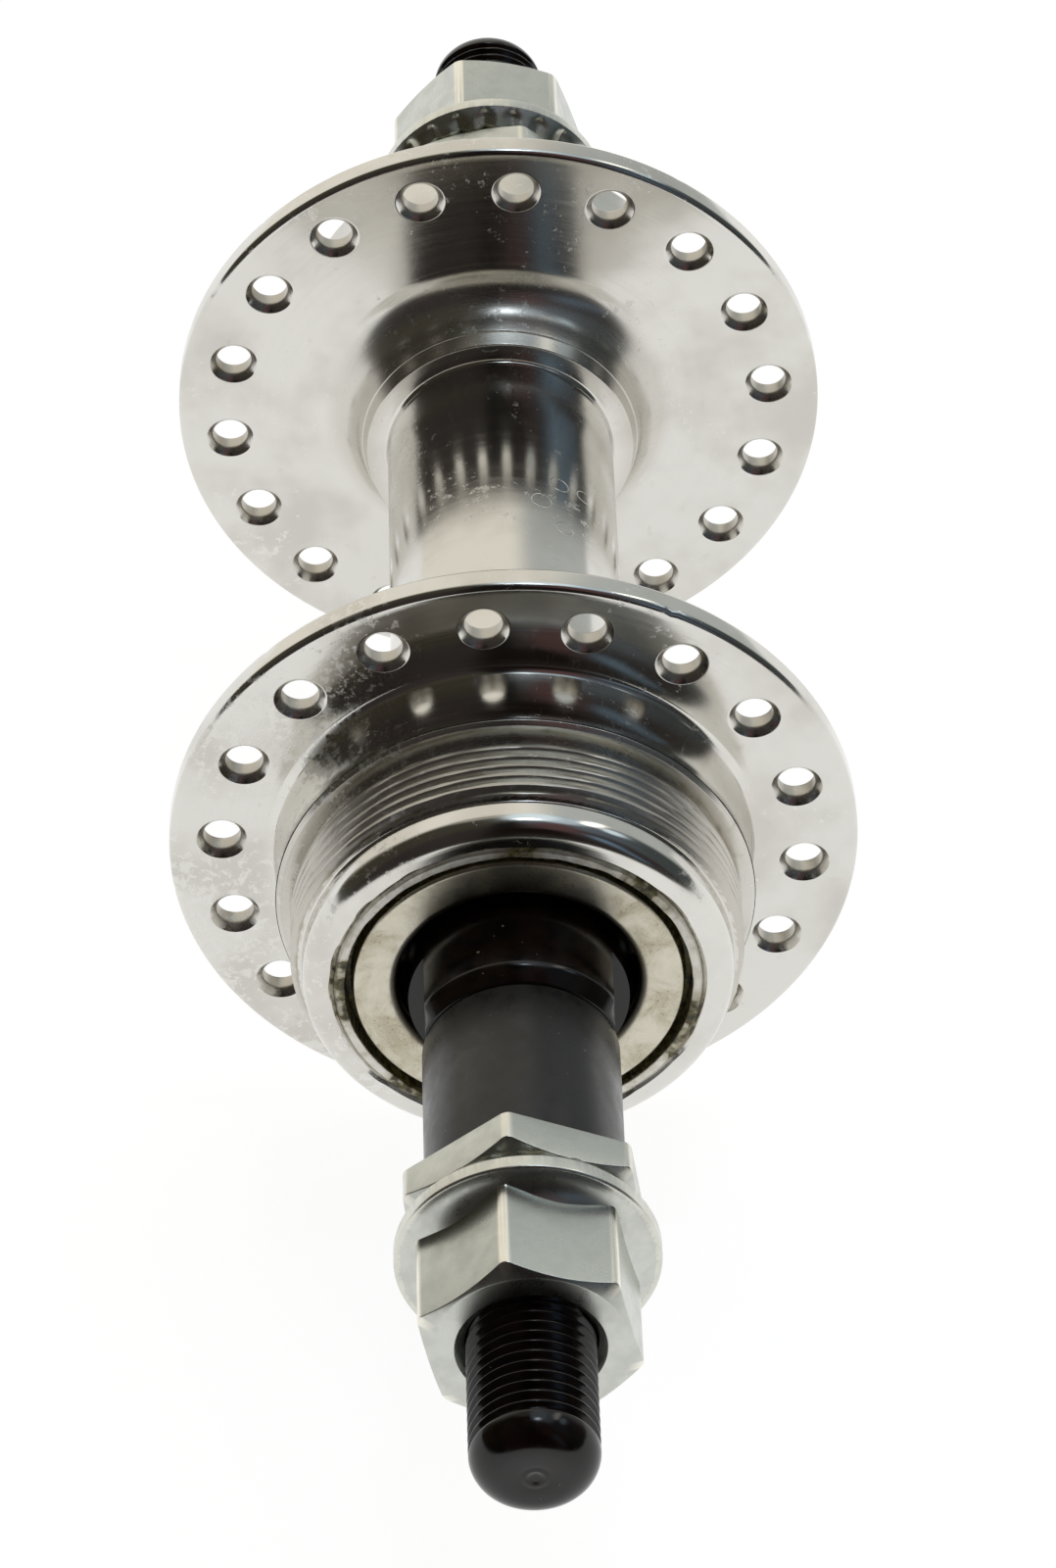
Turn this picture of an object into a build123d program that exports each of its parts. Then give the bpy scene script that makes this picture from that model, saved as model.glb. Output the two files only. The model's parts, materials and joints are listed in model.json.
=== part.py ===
from build123d import *
import os
from math import cos, radians, sin, sqrt, tan

os.makedirs("parts", exist_ok=True)

# Bicycle rear hub with a freewheel thread, loose ball bearings and a solid axle.
# Millimetres. The axle lies along Y with its middle at the origin, drive side at -Y, +Z up.
# Turns of holes and corners are in degrees, from +Z towards +X.

# Layout along the axle, outboard from the hub's centre plane
centre_shift = 1.8              # centre plane, left of the axle's middle
drive_flange_offset = 19.55
left_flange_offset = 35.65
drive_bearing_offset = 10.85    # ball circle, outboard of its flange
left_bearing_offset = 6.35

# Axle
axle_length = 170.5
axle_diameter = 9.525
axle_shank_undercut = 0.36
axle_shank_length = 36.0
axle_crown_radius = 2.4

# Flanges and their spoke holes
flange_diameter = 53.8
flange_thickness = 2.3
flange_edge_round = 0.3
spokes_per_flange = 18
spoke_hole_inset = 4.1          # hole centre, in from the flange's rim
spoke_hole_diameter = 2.9
spoke_countersink_width = 0.55
drive_spoke_turn = -4.45
left_spoke_turn = 5.05

# Barrel tube, and the stepped flange bosses that it is pressed into
barrel_diameter = 18.8
barrel_wall = 1.4
barrel_shoulder = 2.8           # between the barrel's end and the cup's floor
boss_length = 5.3
boss_wall = 2.15                # at the ring's step, from which the boss widens to its root
boss_draft_angle = 14
boss_root_round = 2.9
boss_ring_length = 1.3
boss_ring_step = 0.1

# Freewheel collar, with a plain cylinder at the thread's outer diameter
freewheel_thread_diameter = 34.9
thread_relief_width = 0.6
thread_relief_depth = 0.55
collar_length = 6.1
collar_lip_height = 1.1         # above the thread
collar_lip_bevel = 0.3
collar_waist_depth = 0.4
collar_root_flare = 0.25
nose_length = 2.9
nose_step = 0.9
nose_round = 1.6

# Plain collar on the left side
left_collar_wall = 2.35
left_collar_round = 0.8

# Bearings
ball_diameter = 6.35
balls_per_bearing = 9
ball_gap = 0.285                # between neighbours
ball_clearance = 0.06           # in the race grooves, along the contact line
contact_angle = 45.0
race_conformity = 1.07          # groove radius over ball radius

# Pressed cups
cup_wall = 1.17
cup_floor_thickness = 1.7
cup_floor_clearance = 1.98      # round the cone's nose
cup_corner_round = 1.0
cup_rim_recess = 0.32
cup_rim_height = 2.4            # above the dust cap's seat

# Cones
cone_shoulder = 1.25            # cone's outside, in from the ball circle
cone_nose_reach = 1.6
cone_nose_bevel = 0.5
cone_reach = 13.45              # outboard of the ball circle
cone_flat_depth = 1.3
cone_flat_length = 6.35
cone_end_step = 0.85
cone_end_bevel = 1.25

# Dust caps, pressed sheet
cap_sheet = 0.6
cap_ball_gap = 0.325
cap_ring_width = 0.95
cap_set_back = 0.1              # face behind the cup's rim
cap_cone_clearance = 0.8
cap_lip_radius = 0.85
cap_lip_depth = 1.4

# Spacers and locknuts
spacer_diameter = 15.0
drive_spacer_length = 15.75
left_spacer_length = 4.15
locknut_across_flats = 17.0
locknut_thickness = 3.4
drive_locknut_turn = -7.4
left_locknut_turn = 17.5

# Axle nuts
nut_across_flats = 15.0
nut_height = 11.4
nut_running_clearance = 0.05
nut_countersink_width = 0.75
nut_flange_overhang = 1.2       # beyond the hexagon's corners
nut_rim_height = 1.15
nut_bevel_height = 1.5
nut_bevel_width = 1.1
nut_dish_rise = 0.25
nut_neck_rise = 1.7
nut_neck_inset = 0.4            # dish runs on inside the flats
nut_teeth = 24
nut_tooth_depth = 0.4
nut_tooth_reach = 2.3           # inward from the bevel
nut_groove_share = 0.8          # of the pitch
drive_nut_turn = -11.6
left_nut_turn = -17.4

# Outer corners of every hexagon
corner_bevel_angle = 30.0
corner_bevel_inset = 0.22       # bevelled face, in from the flats

# Radii that several pieces share
axle_radius = axle_diameter / 2
flange_radius = flange_diameter / 2
barrel_radius = barrel_diameter / 2
barrel_bore_radius = barrel_radius - barrel_wall
ball_radius = ball_diameter / 2
ball_circle_radius = (ball_diameter + ball_gap) / 2 / sin(radians(180 / balls_per_bearing))
race_radius = ball_radius * race_conformity
cone_radius = ball_circle_radius - cone_shoulder

# The grooves' centres lie off the ball circle along the contact line
groove_shift = race_radius - ball_radius - ball_clearance
groove_shift_along = groove_shift * sin(radians(contact_angle))
groove_shift_out = groove_shift * cos(radians(contact_angle))
cup_groove_radius = ball_circle_radius - groove_shift_out
cone_groove_radius = ball_circle_radius + groove_shift_out
cone_nose_radius = cone_groove_radius - race_radius
cup_radius = cup_groove_radius + race_radius + cup_wall
cup_bore_radius = cup_groove_radius + race_radius + cup_rim_recess

# Places in a bearing's own frame: ball circle at 0, +Y outboard
cup_floor = groove_shift_along - race_radius - cup_floor_thickness
cap_seat = ball_radius + cap_ball_gap
shell_end = cap_seat + cup_rim_height
barrel_stop = cup_floor - barrel_shoulder
ball_plane = {
    "drive": drive_flange_offset + drive_bearing_offset,
    "left": left_flange_offset + left_bearing_offset,
}
spacer_length = {"drive": drive_spacer_length, "left": left_spacer_length}


def turned(*outline):
    """Solid turned about the Y axis from edges with (radius, along) points that close."""
    return revolve(make_face(outline), Axis.Y)


def tube(start, end, outer_radius, inner_radius):
    """Plain tube about the Y axis."""
    return turned(Polyline(
        (inner_radius, start),
        (outer_radius, start),
        (outer_radius, end),
        (inner_radius, end),
        close=True,
    ))


def ring(shape, radius, count, turn=0):
    """Copies of a piece, evenly spaced round the axle."""
    return [Rot(0, turn + 360 / count * i, 0) * Pos(0, 0, radius) * shape for i in range(count)]


def along_axle(side, place):
    """Place on the hub of a place in a bearing's own frame."""
    if side == "drive":
        return centre_shift - ball_plane[side] - place
    return centre_shift + ball_plane[side] + place


def at_end(side, shape):
    """Move a piece from a bearing's own frame to its end of the hub."""
    if side == "drive":
        shape = mirror(shape, about=Plane.XZ)
    return Pos(0, along_axle(side, 0), 0) * shape


def write(node, shape):
    """Write one piece of the hub."""
    export_step(shape, f"parts/{node}.step")


def hexagon(start, end, across_flats):
    """Hexagonal bar along Y, one corner up, its corners bevelled at the far end."""
    corner_radius = across_flats / sqrt(3)
    corners = [
        (corner_radius * sin(radians(60 * i)), start, corner_radius * cos(radians(60 * i)))
        for i in range(6)
    ]
    bar = extrude(make_face(Polyline(*corners, close=True)), amount=end - start, dir=(0, 1, 0))
    face_radius = across_flats / 2 - corner_bevel_inset
    bevel_length = (across_flats - face_radius) * tan(radians(corner_bevel_angle))
    blank = turned(Polyline(
        (0, start - bevel_length),
        (across_flats, start - bevel_length),
        (across_flats, end - bevel_length),
        (face_radius, end),
        (0, end),
        close=True,
    ))
    return bar & blank


def spoke_holes(inboard_face, turn):
    """Ring of spoke holes through a flange, countersunk on both faces."""
    outboard_face = inboard_face + flange_thickness
    hole_radius = spoke_hole_diameter / 2
    sink = spoke_countersink_width
    cutter = turned(Polyline(
        (0, inboard_face),
        (hole_radius + sink, inboard_face),
        (hole_radius, inboard_face + sink),
        (hole_radius, outboard_face - sink),
        (hole_radius + sink, outboard_face),
        (0, outboard_face),
        close=True,
    ))
    return ring(cutter, flange_radius - spoke_hole_inset, spokes_per_flange, turn)


def flange_outline(inboard_face):
    """Edges from the barrel's bore, over the stepped boss and round the rim, to the outboard face."""
    outboard_face = inboard_face + flange_thickness
    boss_radius = barrel_radius + boss_wall
    boss_end = inboard_face - boss_length
    ring_end = boss_end + boss_ring_length
    edge = flange_edge_round
    root = boss_root_round
    draft = radians(boss_draft_angle)
    root_start = inboard_face - root * (1 - sin(draft))
    root_start_radius = boss_radius + (root_start - ring_end) * tan(draft)
    root_centre = root_start_radius + root * cos(draft)
    return [
        Polyline(
            (barrel_radius, barrel_stop),
            (barrel_radius, boss_end),
            (boss_radius - boss_ring_step - boss_ring_length * tan(draft), boss_end),
            (boss_radius - boss_ring_step, ring_end),
            (boss_radius, ring_end),
            (root_start_radius, root_start),
        ),
        CenterArc((root_centre, inboard_face - root), root, 90, 90 - boss_draft_angle),
        Line((root_centre, inboard_face), (flange_radius - edge, inboard_face)),
        CenterArc((flange_radius - edge, inboard_face + edge), edge, 270, 90),
        Line((flange_radius, inboard_face + edge), (flange_radius, outboard_face - edge)),
        CenterArc((flange_radius - edge, outboard_face - edge), edge, 0, 90),
    ]


def mouth_outline(outer_radius, round_radius):
    """Edges from the outside of the shell's end, through the cup's seat, to the barrel's stop."""
    land_share = 0.3
    edge = min(round_radius, (outer_radius - cup_radius) * (1 - land_share))
    return [
        CenterArc((outer_radius - edge, shell_end - edge), edge, 0, 90),
        Polyline(
            (outer_radius - edge, shell_end),
            (cup_radius, shell_end),
            (cup_radius, cup_floor),
            (barrel_bore_radius, cup_floor),
            (barrel_bore_radius, barrel_stop),
            (barrel_radius, barrel_stop),
        ),
    ], shell_end - edge


def make_drive_flange():
    """Drive-side shell end: flange, boss, waisted collar, freewheel thread and cup seat."""
    inboard_face = -drive_bearing_offset - flange_thickness / 2
    face = inboard_face + flange_thickness
    shoulder = face + collar_length
    thread_radius = freewheel_thread_diameter / 2
    relief_radius = thread_radius - thread_relief_depth
    thread_end = shell_end - nose_length
    nose_radius = thread_radius - nose_step
    lip_radius = thread_radius + collar_lip_height
    root_radius = lip_radius + collar_root_flare
    mouth, nose_end = mouth_outline(nose_radius, nose_round)
    blank = turned(
        *flange_outline(inboard_face),
        Line((flange_radius - flange_edge_round, face), (root_radius, face)),
        ThreePointArc(
            (root_radius, face),
            (lip_radius - collar_waist_depth, face + collar_length / 2),
            (lip_radius, shoulder - collar_lip_bevel),
        ),
        Polyline(
            (lip_radius, shoulder - collar_lip_bevel),
            (lip_radius - collar_lip_bevel, shoulder),
            (relief_radius, shoulder),
            (relief_radius, shoulder + thread_relief_width),
            (thread_radius, shoulder + thread_relief_width),
            (thread_radius, thread_end),
            (nose_radius, thread_end),
            (nose_radius, nose_end),
        ),
        *mouth,
    )
    return blank - spoke_holes(inboard_face, drive_spoke_turn)


def make_left_flange():
    """Left shell end: flange, boss, plain collar and cup seat."""
    inboard_face = -left_bearing_offset - flange_thickness / 2
    face = inboard_face + flange_thickness
    collar_radius = cup_radius + left_collar_wall
    mouth, collar_end = mouth_outline(collar_radius, left_collar_round)
    blank = turned(
        *flange_outline(inboard_face),
        Polyline(
            (flange_radius - flange_edge_round, face),
            (collar_radius, face),
            (collar_radius, collar_end),
        ),
        *mouth,
    )
    return blank - spoke_holes(inboard_face, left_spoke_turn)


def make_cup():
    """Pressed cup: a race groove that faces outboard, under a thin rim that holds the dust cap."""
    race_outside = cup_groove_radius + race_radius
    hole_radius = cone_nose_radius + cup_floor_clearance
    corner = cup_corner_round
    return turned(
        Polyline(
            (cup_radius, cup_floor + corner),
            (cup_radius, shell_end),
            (cup_bore_radius, shell_end),
            (cup_bore_radius, cap_seat),
            (race_outside, cap_seat),
            (race_outside, groove_shift_along),
        ),
        CenterArc((cup_groove_radius, groove_shift_along), race_radius, 270, 90),
        Polyline(
            (cup_groove_radius, cup_floor + cup_floor_thickness),
            (hole_radius, cup_floor + cup_floor_thickness),
            (hole_radius, cup_floor),
            (cup_radius - corner, cup_floor),
        ),
        CenterArc((cup_radius - corner, cup_floor + corner), corner, 270, 90),
    )


def make_cone():
    """Cone: a race groove that faces inboard, and two wrench flats at the outboard end."""
    groove_edge = sqrt(race_radius**2 - (cone_groove_radius - cone_radius) ** 2) - groove_shift_along
    bottom_share = sqrt(0.5)
    cone = turned(
        Polyline(
            (axle_radius, -cone_nose_reach),
            (cone_nose_radius - cone_nose_bevel, -cone_nose_reach),
            (cone_nose_radius, cone_nose_bevel - cone_nose_reach),
            (cone_nose_radius, -groove_shift_along),
        ),
        ThreePointArc(
            (cone_nose_radius, -groove_shift_along),
            (
                cone_groove_radius - race_radius * bottom_share,
                race_radius * bottom_share - groove_shift_along,
            ),
            (cone_radius, groove_edge),
        ),
        Polyline(
            (cone_radius, groove_edge),
            (cone_radius, cone_reach - cone_end_bevel),
            (cone_radius - cone_end_step, cone_reach),
            (axle_radius, cone_reach),
            (axle_radius, -cone_nose_reach),
        ),
    )
    flat = Box(cone_flat_depth, cone_flat_length, 2 * cone_radius)
    for turn in (0, 180):
        place = Pos(cone_radius - cone_flat_depth / 2, cone_reach - cone_flat_length / 2, 0)
        cone -= Rot(0, turn, 0) * place * flat
    return cone


def make_dust_cap():
    """Pressed cap: a ring in the cup's rim, a raised flat face and a lip rolled in round the cone."""
    face = shell_end - cap_set_back
    back = face - cap_sheet
    outside = cup_bore_radius - cap_ring_width
    hole = cone_radius + cap_cone_clearance
    lip_centre = (hole + cap_lip_radius, face - cap_lip_radius)
    return turned(
        Polyline(
            (hole + cap_sheet, lip_centre[1]),
            (hole + cap_sheet, face - cap_lip_depth),
            (hole, face - cap_lip_depth),
            (hole, lip_centre[1]),
        ),
        CenterArc(lip_centre, cap_lip_radius, 90, 90),
        Polyline(
            (lip_centre[0], face),
            (outside, face),
            (outside, cap_seat + cap_sheet),
            (cup_bore_radius, cap_seat + cap_sheet),
            (cup_bore_radius, cap_seat),
            (outside - cap_sheet, cap_seat),
            (outside - cap_sheet, back),
            (lip_centre[0], back),
        ),
        CenterArc(lip_centre, cap_lip_radius - cap_sheet, 90, 90),
    )


def make_locknut():
    """Thin hexagonal nut with its outboard face at 0."""
    bar = hexagon(-locknut_thickness, 0, locknut_across_flats)
    return bar - tube(-locknut_thickness, 0, axle_radius, 0)


def tooth_groove(rim_radius, bevel_radius):
    """V groove along +Z that deepens across the clamping face at 0 and then follows its bevel."""
    bevel_slope = nut_bevel_height / (rim_radius - bevel_radius)
    pitch = 2 * bevel_radius * radians(180 / nut_teeth)
    spread = pitch * nut_groove_share / 2 / nut_tooth_depth
    apex_rise = nut_tooth_depth / 5
    apex_radius = bevel_radius - nut_tooth_reach * (1 + apex_rise / nut_tooth_depth)
    end_radius = rim_radius + nut_tooth_depth

    def section(radius, bottom):
        half_width = spread * (bottom + nut_tooth_depth)
        return make_face(Polyline(
            (-half_width, -nut_tooth_depth, radius),
            (half_width, -nut_tooth_depth, radius),
            (0, bottom, radius),
            close=True,
        ))

    return loft([
        section(apex_radius, -apex_rise),
        section(bevel_radius, nut_tooth_depth),
        section(end_radius, nut_tooth_depth + bevel_slope * (end_radius - bevel_radius)),
    ], ruled=True)


def make_axle_nut():
    """Axle nut with a toothed clamping flange, a dished top and bevelled hexagon corners."""
    neck_radius = nut_across_flats / 2 - nut_neck_inset
    rim_radius = nut_across_flats / sqrt(3) + nut_flange_overhang
    bevel_radius = rim_radius - nut_bevel_width
    rim_end = nut_bevel_height + nut_rim_height
    neck_end = rim_end + nut_neck_rise
    flange = turned(
        Polyline(
            (rim_radius, rim_end),
            (rim_radius, nut_bevel_height),
            (bevel_radius, 0),
            (0, 0),
            (0, neck_end),
            (neck_radius, neck_end),
        ),
        ThreePointArc(
            (neck_radius, neck_end),
            ((neck_radius + rim_radius) / 2, rim_end + nut_dish_rise),
            (rim_radius, rim_end),
        ),
    )
    bore_radius = axle_radius + nut_running_clearance
    bore = turned(Polyline(
        (0, 0),
        (bore_radius, 0),
        (bore_radius, nut_height - nut_countersink_width),
        (bore_radius + nut_countersink_width, nut_height),
        (0, nut_height),
        close=True,
    ))
    grooves = ring(tooth_groove(rim_radius, bevel_radius), 0, nut_teeth)
    return (flange - grooves) + hexagon(nut_bevel_height, nut_height, nut_across_flats) - bore


def make_axle():
    """Solid axle: threaded ends at full diameter, a plain shank in the middle, crowned tips."""
    tip = axle_length / 2
    shank_end = axle_shank_length / 2
    shank_radius = axle_radius - axle_shank_undercut
    crown = axle_crown_radius
    return turned(
        CenterArc((axle_radius - crown, crown - tip), crown, 270, 90),
        Polyline(
            (axle_radius, crown - tip),
            (axle_radius, -shank_end),
            (shank_radius, -shank_end),
            (shank_radius, shank_end),
            (axle_radius, shank_end),
            (axle_radius, tip - crown),
        ),
        CenterArc((axle_radius - crown, tip - crown), crown, 0, 90),
        Polyline(
            (axle_radius - crown, tip),
            (0, tip),
            (0, -tip),
            (axle_radius - crown, -tip),
        ),
    )


write("axle", make_axle())
barrel_ends = [along_axle(side, barrel_stop) for side in ("drive", "left")]
write("barrel", tube(*barrel_ends, barrel_radius, barrel_bore_radius))
write("drive_flange", at_end("drive", make_drive_flange()))
write("left_flange", at_end("left", make_left_flange()))

cup = make_cup()
cone = make_cone()
dust_cap = make_dust_cap()
locknut = make_locknut()
axle_nut = make_axle_nut()
balls = ring(Sphere(ball_radius), ball_circle_radius, balls_per_bearing)

for side, locknut_turn, nut_turn in (
    ("drive", drive_locknut_turn, drive_nut_turn),
    ("left", left_locknut_turn, left_nut_turn),
):
    spacer_end = cone_reach + spacer_length[side]
    clamping_face = Pos(0, spacer_end + locknut_thickness, 0)
    write(f"{side}_cup", at_end(side, cup))
    write(f"{side}_cone", at_end(side, cone))
    write(f"{side}_dust_cap", at_end(side, dust_cap))
    write(f"{side}_spacer", at_end(side, tube(cone_reach, spacer_end, spacer_diameter / 2, axle_radius)))
    write(f"{side}_locknut", at_end(side, clamping_face * Rot(0, locknut_turn, 0) * locknut))
    write(f"{side}_axle_nut", at_end(side, clamping_face * Rot(0, nut_turn, 0) * axle_nut))
    for number, ball in enumerate(balls, start=1):
        write(f"{side}_ball_{number}", at_end(side, ball))
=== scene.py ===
import json
from math import cos, pi, radians, sin, sqrt, tan

import bmesh
import bpy
import numpy as np
from mathutils import Matrix


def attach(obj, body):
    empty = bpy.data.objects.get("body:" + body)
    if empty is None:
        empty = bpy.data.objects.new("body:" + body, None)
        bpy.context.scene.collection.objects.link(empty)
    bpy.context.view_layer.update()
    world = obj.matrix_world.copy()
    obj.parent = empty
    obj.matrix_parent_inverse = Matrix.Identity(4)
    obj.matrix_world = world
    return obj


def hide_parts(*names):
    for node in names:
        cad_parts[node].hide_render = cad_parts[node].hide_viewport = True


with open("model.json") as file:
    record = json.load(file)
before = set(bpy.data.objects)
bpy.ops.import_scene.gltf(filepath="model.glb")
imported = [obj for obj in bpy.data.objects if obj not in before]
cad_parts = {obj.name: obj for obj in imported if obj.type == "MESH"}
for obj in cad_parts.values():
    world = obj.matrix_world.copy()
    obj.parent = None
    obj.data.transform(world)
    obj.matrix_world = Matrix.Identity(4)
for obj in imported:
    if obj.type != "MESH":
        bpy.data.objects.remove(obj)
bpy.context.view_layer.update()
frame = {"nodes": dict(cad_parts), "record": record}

# Bicycle rear hub: a polished aluminium shell, zinc-plated nuts and a blackened axle.
# Shapes are worked out in millimetres. The axle lies along Y, drive side at -Y, +Z up. A place along
# the axle counts outboard from its middle, and angles run from +Z towards +X.

mm = 0.001


def reach(node):
    """Inner and outer radius of a CAD node about the axle, and its two ends along Y."""
    vertices = frame["nodes"][node].data.vertices
    places = np.empty(len(vertices) * 3)
    vertices.foreach_get("co", places)
    x, y, z = places.reshape(-1, 3).T / mm
    radius = np.hypot(x, z)
    return [round(float(value), 3) for value in (radius.min(), radius.max(), y.min(), y.max())]


# Places and sizes from the frame
outboard = {"drive": -1, "left": 1}
mounts = {mount["name"]: mount for mount in frame["record"]["mounts"]}
ball_plane = {}
flange_plane = {}
for side, sign in outboard.items():
    ball_inner, ball_outer, ball_low, ball_high = reach(f"{side}_ball_1")
    ball_plane[side] = sign * (ball_low + ball_high) / 2
    flange_plane[side] = sign * mounts[f"{side}_spoke_holes"]["pos_m"][1] / mm
ball_circle_radius = (ball_inner + ball_outer) / 2
axle_radius, axle_tip = reach("axle")[1::2]
barrel_bore_radius, barrel_radius, barrel_low, barrel_high = reach("barrel")
cup_hole_radius, cup_radius = reach("drive_cup")[:2]
cap_hole_radius, cup_bore_radius = reach("drive_dust_cap")[:2]
flange_radius = reach("drive_flange")[1]
cone_radius = reach("drive_cone")[1]
spacer_radius = reach("drive_spacer")[1]
nut_rim_radius = reach("drive_axle_nut")[1]
spoke_holes = mounts["drive_spoke_holes"]["dims"]
hole_circle_radius = spoke_holes["pcd_mm"] / 2
hole_radius = spoke_holes["hole_r_mm"]
hole_count = spoke_holes["count"]
thread_radius = mounts["freewheel_thread"]["dims"]["r_mm"]

# Shell
flange_thickness = 2.3
flange_edge_round = 0.55
spoke_turn = {"drive": -4.45, "left": 5.05}
countersink = 0.55
hole_edge_round = 0.16
hole_wall_round = 0.4
hole_margin = 0.12              # flat ring round a countersink
nick_waves = (20, 130)
nick_rarity = 1.9
boss_radius = barrel_radius + 2.15
boss_length = 5.3
boss_draft = tan(radians(14))
boss_root_round = 3.6
boss_ring_length = 1.3
boss_ring_step = 0.1
boss_ring_round = 0.12
boss_ring_foot_round = 0.04
boss_end_round = 0.16
boss_satin = 0.45
boss_satin_start = 3.4          # how far out over the root the satin starts
boss_satin_full = 1.8           # and where it is full
barrel_cover = 0.02             # skin that laps over the barrel
barrel_cover_length = 0.4
barrel_cover_round = 0.3
collar_length = 6.1
collar_lip_radius = thread_radius + 1.1
collar_root_radius = collar_lip_radius + 0.25
collar_root_round = 0.8
collar_waist_radius = collar_lip_radius - 0.4
collar_lip_bevel = 0.3
collar_lip_length = 0.6
collar_waist_round = 7.5
thread_depth = 0.55
thread_relief = 0.6
thread_crest_share = 0.34
freewheel_pitch = 25.4 / 24
nose_length = 2.9
nose_radius = thread_radius - 0.9
nose_round = 1.6
left_collar_radius = cup_radius + 2.35
left_collar_round = 0.8
mouth_bevel = 0.28
mouth_seat = 0.35
mouth_raggedness = 0.1
mouth_waves = (5, 22)
sharp_break = 0.06              # round that leaves an edge looking crisp

# Bearing, in its own frame: ball circle at 0, outboard positive
groove_shift = 0.1147
race_radius = 3.397
cup_floor_thickness = 1.7
cup_floor = groove_shift - race_radius - cup_floor_thickness
cup_corner_round = 1.0
cup_rim_depth = 0.4
cup_rim_bevel = 0.2
cup_bore_depth = 0.5
cup_burr = 0.06
cup_burr_waves = (5, 26)
cap_seat = 3.5
shell_end = 5.9
barrel_stop = cup_floor - 2.8
cap_face = shell_end - 0.1
cap_sheet = 0.6
cap_ring_width = 0.6
cap_lip_radius = 0.85
cap_lip_depth = 1.4
cone_nose_reach = 1.6
cone_reach = 13.45
cone_flat_half = 7.15
cone_flat_length = 6.35
cone_end_step = 0.85
cone_end_bevel = 1.25
cone_nose_bevel = 0.5

# Nuts and axle
locknut_across_flats = 17.0
locknut_thickness = 3.4
locknut_turn = {"drive": -7.4, "left": 17.5}
locknut_countersink = 0.5
nut_across_flats = 15.0
nut_height = 11.4
nut_turn = {"drive": -11.6, "left": -17.4}
nut_bevel_height = 1.5
nut_bevel_width = 1.1
nut_rim_height = 1.15
nut_rim_round = 0.22
nut_dish_rise = 0.25
nut_neck_rise = 1.7
nut_neck_inset = 0.4
nut_countersink = 0.75
nut_bore_radius = axle_radius + 0.05
nut_teeth = 24
nut_tooth_depth = 0.4
nut_tooth_reach = 2.3
nut_groove_share = 0.8
hexagon_corner_round = 0.85
hexagon_bevel_slope = tan(radians(30))
hexagon_bevel_inset = 0.22
side_margin = 0.1               # how far inside a flat a point still counts as on the nut's side
axle_crown = 2.4
axle_pitch = 25.4 / 26
axle_thread_depth = 0.5
axle_shank_radius = axle_radius - 0.36
axle_shank_end = 18.0
axle_centre_mark = (            # radius, rise over the tip, and round
    (1.5, 0.015, 0), (1.1, -0.04, 0.4), (0.75, 0.01, 0.4), (0.4, -0.12, 0.3), (0.0, -0.14, 0),
)

# Fineness of the meshes
thread_rows = 13                # in one turn of a thread
tooth_columns = 12              # in one tooth of a nut
flat_columns = 24               # in one flat of a hexagon
round_columns = {"barrel": 192, "cup": 288, "cap": 192, "spacer": 160, "axle": 96}


def unit(vectors):
    """Vectors divided by their length."""
    return vectors / np.linalg.norm(vectors, axis=-1, keepdims=True)


def smooth(low, high, values):
    """Share that rises from 0 at low to 1 at high, level at both ends: 3 t^2 - 2 t^3."""
    share = np.clip((values - low) / (high - low), 0, 1)
    return share * share * (3 - 2 * share)


def uneven(angles, size, waves, seed, floor=0.0):
    """Amount that wanders between 0 and about size round the hub, as dents and burrs do.

    It is a sum of whole-number waves with random phases, so that it closes on itself, and whatever
    lies under the floor, in spreads of the sum, counts as nothing.
    """
    counts = np.arange(*waves)
    phases = np.random.default_rng(seed).uniform(0, 2 * pi, counts.size)
    total = np.cos(angles[:, None] * counts + phases).sum(1) / sqrt(counts.size / 2)
    return size * np.clip(total - floor, 0, 1.5)


def outline(*corners):
    """Rows of (radius, along) points on a path whose corners are rounded by arcs.

    A corner is (radius, along, round), and each may hold one value per angle about the axle. The arc
    touches the edge on both sides at round * tan(turn / 2) from the corner. Its points are the centre
    plus the two contact directions, weighted by the sines of what is left and what is done of the turn.
    """
    width = max(np.size(value) for corner in corners for value in corner)
    grid = np.array([[np.broadcast_to(value, width) for value in corner] for corner in corners], float)
    points, rounds = grid[:, :2].transpose(0, 2, 1), grid[:, 2, :, None]
    rows = [points[:1]]
    for before, corner, after, size in zip(points, points[1:], points[2:], rounds[1:]):
        if size.max() == 0:
            rows.append(corner[None])
            continue
        back, ahead = unit(before - corner), unit(after - corner)
        turn = pi - np.arccos(np.clip((back * ahead).sum(-1, keepdims=True), -1, 1))
        centre = corner + unit(back + ahead) * size / np.cos(turn / 2)
        start = corner + back * size * np.tan(turn / 2) - centre
        end = corner + ahead * size * np.tan(turn / 2) - centre
        steps = 2 + int(np.degrees(turn.max()) * sqrt(size.max()) / 9)
        share = np.linspace(0, 1, steps + 1)[:, None, None]
        arc = (np.sin((1 - share) * turn) * start + np.sin(share * turn) * end) / np.sin(turn)
        rows.append(centre + arc)
    return np.concatenate([*rows, points[-1:]])


def circle_through(*points):
    """Centre and radius of the circle through three points, from the chords that leave the first."""
    first, *others = np.array(points)
    chords = np.array(others) - first
    centre = first + np.linalg.solve(chords, (chords**2).sum(1) / 2)
    return centre, np.linalg.norm(centre - first)


def surface(x, y, z, wear=0.0, grime=0.0):
    """Grid of points, each with its share of wear and of grime."""
    return np.stack(np.broadcast_arrays(x, y, z, wear, grime), -1)


def turned(path, angles, side, origin=0.0, wear=0.0, grime=0.0):
    """Surface turned about the axle: x = radius sin angle, y = place outboard, z = radius cos angle."""
    radius, along = path[..., 0], outboard[side] * (path[..., 1] + origin)
    return surface(radius * np.sin(angles), along, radius * np.cos(angles), wear, grime)


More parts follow.
